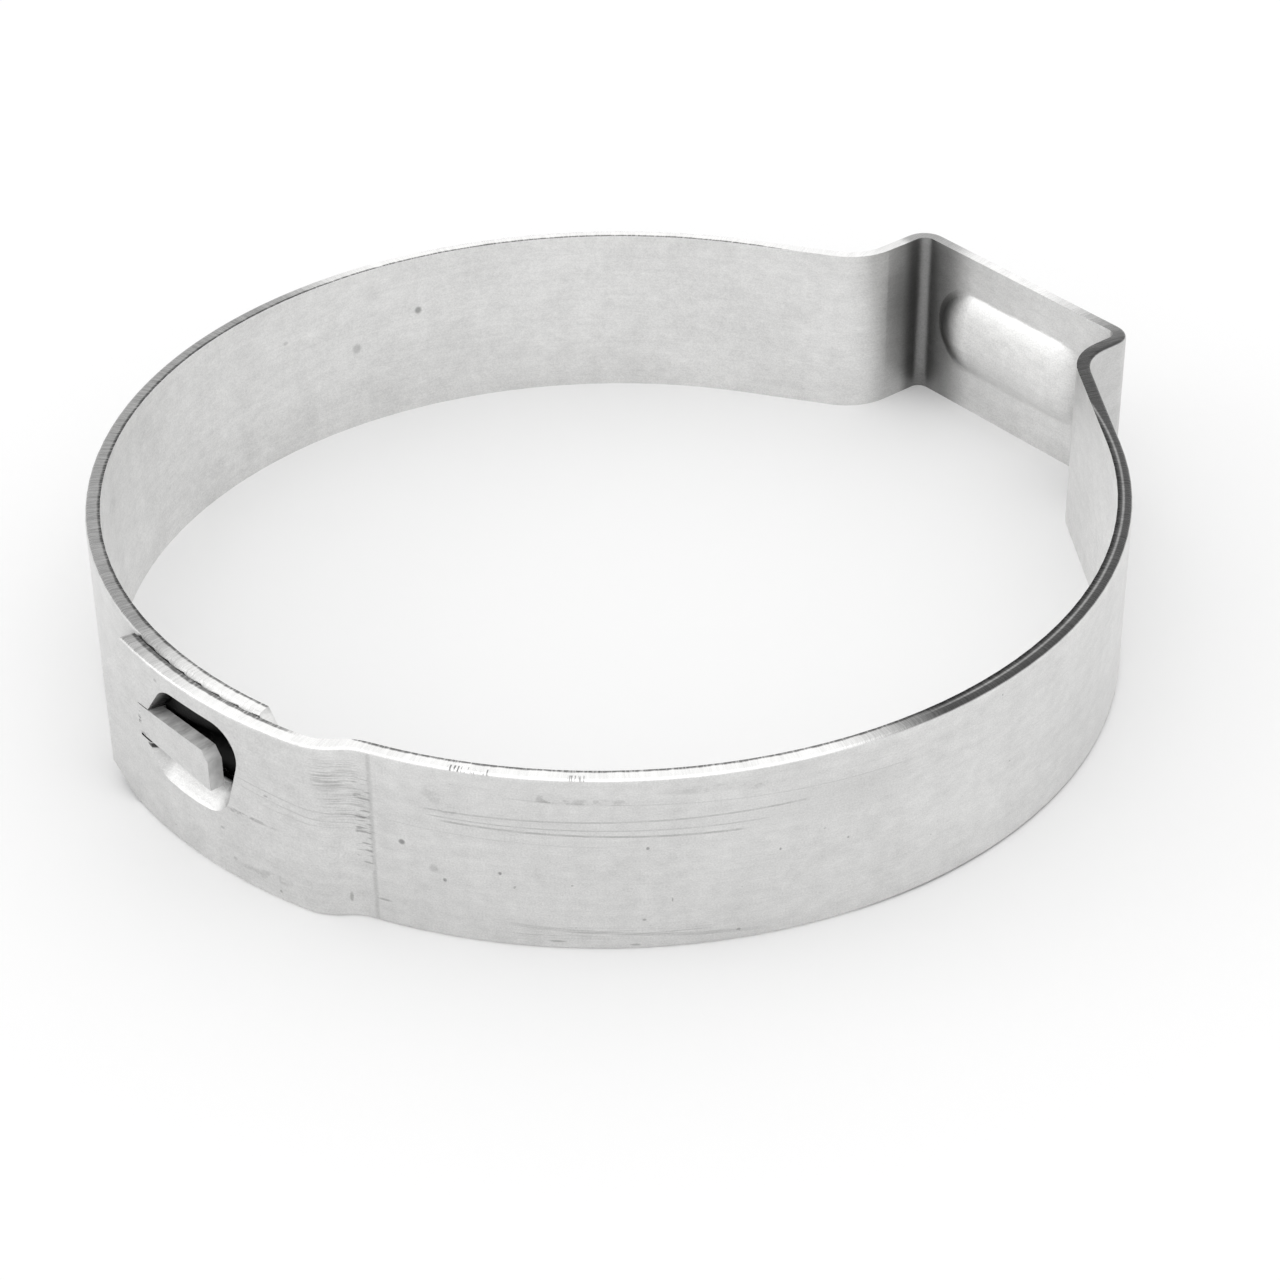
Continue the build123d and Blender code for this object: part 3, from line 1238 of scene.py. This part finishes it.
@dataclass(frozen=True)
class Lamp:
    """One soft square lamp that faces the clamp.

    Attributes:
        name: The lamp's name.
        place: Where it hangs, in metres.
        size: Length of its side, in metres.
        power: Its power, in watts.
    """

    name: str
    place: Triple
    size: float
    power: float

    def build(self) -> bpy.types.Object:
        """Hangs the lamp.

        Returns:
            The lamp.
        """
        data = bpy.data.lights.new(self.name, "AREA")
        data.shape = "SQUARE"
        data.size = self.size
        data.energy = self.power
        lamp = bpy.data.objects.new(self.name, data)
        lamp.location = self.place
        lamp.rotation_mode = "QUATERNION"
        lamp.rotation_quaternion = (-Vector(self.place)).to_track_quat("-Z", "Y")
        bpy.context.scene.collection.objects.link(lamp)
        return lamp


@dataclass
class Studio:
    """Pale floor, even surroundings and soft lamps.

    Attributes:
        floor_z_mm: Height of the floor.
        floor_half_mm: Half the floor's side.
        floor_tone: Brightness of the floor.
        surround: Brightness of the surroundings as they are seen.
        fill: Brightness of the surroundings as they light the clamp.
        lamps: The lamps.
    """

    floor_z_mm: float = -3.5
    floor_half_mm: float = 4000.0
    floor_tone: float = 0.97
    surround: float = 1.0
    fill: float = 0.94
    lamps: tuple[Lamp, ...] = (
        Lamp("key_lamp", (-0.15, -0.2, 0.85), 1.0, 1.0),
        Lamp("side_lamp", (-0.42, 0.38, 0.2), 0.3, 0.3),
    )

    def build(self) -> bpy.types.Object:
        """Makes the floor, the world and the lamps.

        Returns:
            The floor.
        """
        half = self.floor_half_mm * MM
        mesh = bpy.data.meshes.new("floor")
        corners = [(-half, -half, 0), (half, -half, 0), (half, half, 0), (-half, half, 0)]
        mesh.from_pydata(corners, [], [(0, 1, 2, 3)])
        floor = bpy.data.objects.new("floor", mesh)
        floor.location.z = self.floor_z_mm * MM
        bpy.context.scene.collection.objects.link(floor)
        mesh.materials.append(self._floor_material())
        self._world()
        for lamp in self.lamps:
            LOG.info("lamp: %s", lamp.build().name)
        return floor

    def _floor_material(self) -> bpy.types.Material:
        """Makes the floor's pale matt finish.

        Returns:
            The material.
        """
        material = bpy.data.materials.new("pale_floor")
        material.use_nodes = True
        g = Graph(material.node_tree)
        matt = g.node("BsdfDiffuse")
        matt.inputs["Color"].default_value = (self.floor_tone,) * 3 + (1.0,)
        g.finish(matt)
        return material

    def _world(self) -> None:
        """Makes even white surroundings, which light the clamp at a plain level."""
        world = bpy.data.worlds.new("surround")
        bpy.context.scene.world = world
        world.use_nodes = True
        g = Graph(world.node_tree)
        rays = g.node("LightPath").outputs
        shown = g.math(Op.MAXIMUM, rays["Is Camera Ray"], rays["Is Glossy Ray"])
        shown = g.math(Op.MAXIMUM, shown, rays["Is Transmission Ray"])
        background = g.node("Background")
        background.inputs["Color"].default_value = WHITE
        g.put(background.inputs["Strength"], g.mix(shown, self.fill, self.surround))
        g.finish(background, "OutputWorld")


@dataclass
class CameraRig:
    """Camera that looks down at the ring over its lapped side.

    Attributes:
        azimuth: Its turn round the clamp, in degrees.
        elevation: Its height over the floor, in degrees.
        distance_mm: Its distance from the bore's centre.
        aim_right_mm: How far right of the centre it aims.
        aim_up_mm: How far above the centre it aims.
        roll: Its turn about its own axis, in degrees.
        lens_mm: Focal length.
        sensor_mm: Width of the sensor.
        clip_start: Nearest distance that is seen, in metres.
        clip_end: Farthest distance that is seen, in metres.
    """

    azimuth: float = -38.29
    elevation: float = 32.737
    distance_mm: float = 123.37
    aim_right_mm: float = 1.0567
    aim_up_mm: float = -3.386
    roll: float = -0.599
    lens_mm: float = 92.91
    sensor_mm: float = 36.0
    clip_start: float = 0.005
    clip_end: float = 20.0

    def build(self) -> bpy.types.Object:
        """Makes the scene's camera.

        Returns:
            The camera.
        """
        data = bpy.data.cameras.new("camera")
        data.lens = self.lens_mm
        data.sensor_width = self.sensor_mm
        data.clip_start = self.clip_start
        data.clip_end = self.clip_end
        data.dof.use_dof = False
        camera = bpy.data.objects.new("camera", data)
        camera.matrix_world = self._pose()
        bpy.context.scene.collection.objects.link(camera)
        bpy.context.scene.camera = camera
        return camera

    def _pose(self) -> Matrix:
        """Works out where the camera stands and how it is turned.

        Returns:
            The camera's matrix.
        """
        turn, lift = math.radians(self.azimuth), math.radians(self.elevation)
        flat = math.cos(lift)
        back = Vector((math.sin(turn) * flat, -math.cos(turn) * flat, math.sin(lift)))
        right = Vector((math.cos(turn), math.sin(turn), 0.0))
        up = back.cross(right)
        place = back * self.distance_mm * MM
        aim = (right * self.aim_right_mm + up * self.aim_up_mm) * MM
        look = (aim - place).normalized()
        right = look.cross(Vector((0.0, 0.0, 1.0))).normalized()
        up = right.cross(look)
        spin = math.radians(self.roll)
        turned_right = right * math.cos(spin) + up * math.sin(spin)
        turned_up = up * math.cos(spin) - right * math.sin(spin)
        basis = Matrix((turned_right, turned_up, -look)).transposed().to_4x4()
        return Matrix.Translation(place) @ basis


def main() -> None:
    """Builds and dresses every piece in order."""
    logging.basicConfig(level=logging.INFO)
    scene = bpy.context.scene
    scene.view_settings.view_transform = "Standard"
    LOG.info("camera: %s", CameraRig().build().name)
    LOG.info("stage: %s", Studio().build().name)
    LOG.info("strip: %s", ClampBand().dress().name)
    LOG.info("tab bed: %s", TabBed().build().name)


if __name__ == "__main__":
    main()
